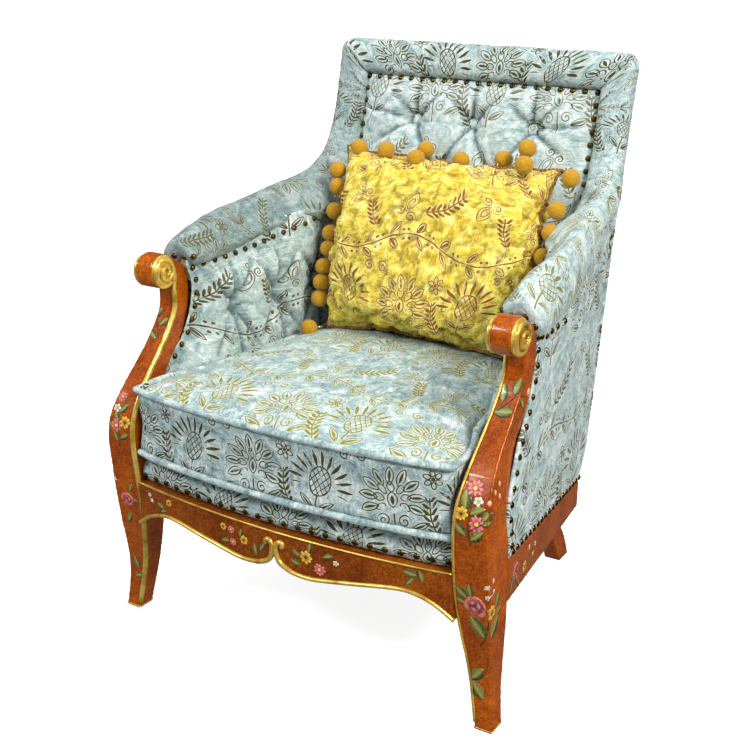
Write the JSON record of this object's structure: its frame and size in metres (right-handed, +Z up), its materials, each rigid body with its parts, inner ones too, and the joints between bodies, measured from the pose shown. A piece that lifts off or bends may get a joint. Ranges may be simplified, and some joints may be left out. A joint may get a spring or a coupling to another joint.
{
  "type": "upholstered armchair",
  "caption": "Upholstered armchair with a carved, painted show-wood frame, scrolled arm posts, tufted arms and back, a loose box cushion and a fringed throw pillow.",
  "frame": {"origin": "on the floor, in the middle of the bounding box", "axes": "+Z up, -Y is the way the chair faces, +X to the right of someone looking at its front"},
  "size_m": [0.744, 0.7418, 0.9635],
  "materials": {
    "orange_paint": "glossy lacquer paint",
    "beech": "raw",
    "blue_velvet": "crushed velvet",
    "gold_velvet": "crushed velvet",
    "mustard_wool": "wool",
    "felt": "felt",
    "black_cambric": "matt",
    "spring_steel": "oiled"
  },
  "bodies": {
    "chair": {"arm_button_left_1": "blue_velvet", "arm_button_left_2": "blue_velvet", "arm_button_left_3": "blue_velvet", "arm_button_right_1": "blue_velvet", "arm_button_right_2": "blue_velvet", "arm_button_right_3": "blue_velvet", "arm_rail_left": "beech", "arm_rail_right": "beech", "arm_tack_rail_left": "beech", "arm_tack_rail_right": "beech", "back_button_1": "blue_velvet", "back_button_2": "blue_velvet", "back_button_3": "blue_velvet", "back_button_4": "blue_velvet", "back_button_5": "blue_velvet", "back_button_6": "blue_velvet", "back_button_7": "blue_velvet", "back_button_8": "blue_velvet", "back_seat_rail": "beech", "back_tack_rail": "beech", "corner_block_front_left": "beech", "corner_block_front_right": "beech", "corner_block_rear_left": "beech", "corner_block_rear_right": "beech", "crest_band": "blue_velvet", "crest_rail": "beech", "dust_cover": "black_cambric", "front_apron": "orange_paint", "front_post_left": "orange_paint", "front_post_right": "orange_paint", "front_spring_rail": "beech", "inside_arm_left": "blue_velvet", "inside_arm_right": "blue_velvet", "inside_back": "blue_velvet", "nose_roll": "blue_velvet", "outside_arm_left": "blue_velvet", "outside_arm_right": "blue_velvet", "outside_back": "blue_velvet", "rear_post_left": "orange_paint", "rear_post_right": "orange_paint", "seat_deck": "felt", "seat_spring_1": "spring_steel", "seat_spring_2": "spring_steel", "seat_spring_3": "spring_steel", "seat_spring_4": "spring_steel", "side_band_left": "blue_velvet", "side_band_right": "blue_velvet", "side_rail_left": "orange_paint", "side_rail_right": "orange_paint", "spring_pad": "felt"},
    "cushion": {"seat_cushion": "blue_velvet", "cushion_welt_top": "blue_velvet", "cushion_welt_bottom": "blue_velvet"},
    "pillow": {"throw_pillow": "gold_velvet", "pompom_fringe": "mustard_wool"}
  },
  "joints": [
    {"name": "cushion_lift", "type": "slide", "parent": "chair", "child": "cushion", "axis": [0, 0, 1], "range_m": [0, 0.3]},
    {"name": "pillow_lift", "type": "slide", "parent": "cushion", "child": "pillow", "axis": [0, 0, 1], "range_m": [0, 0.4]}
  ]
}
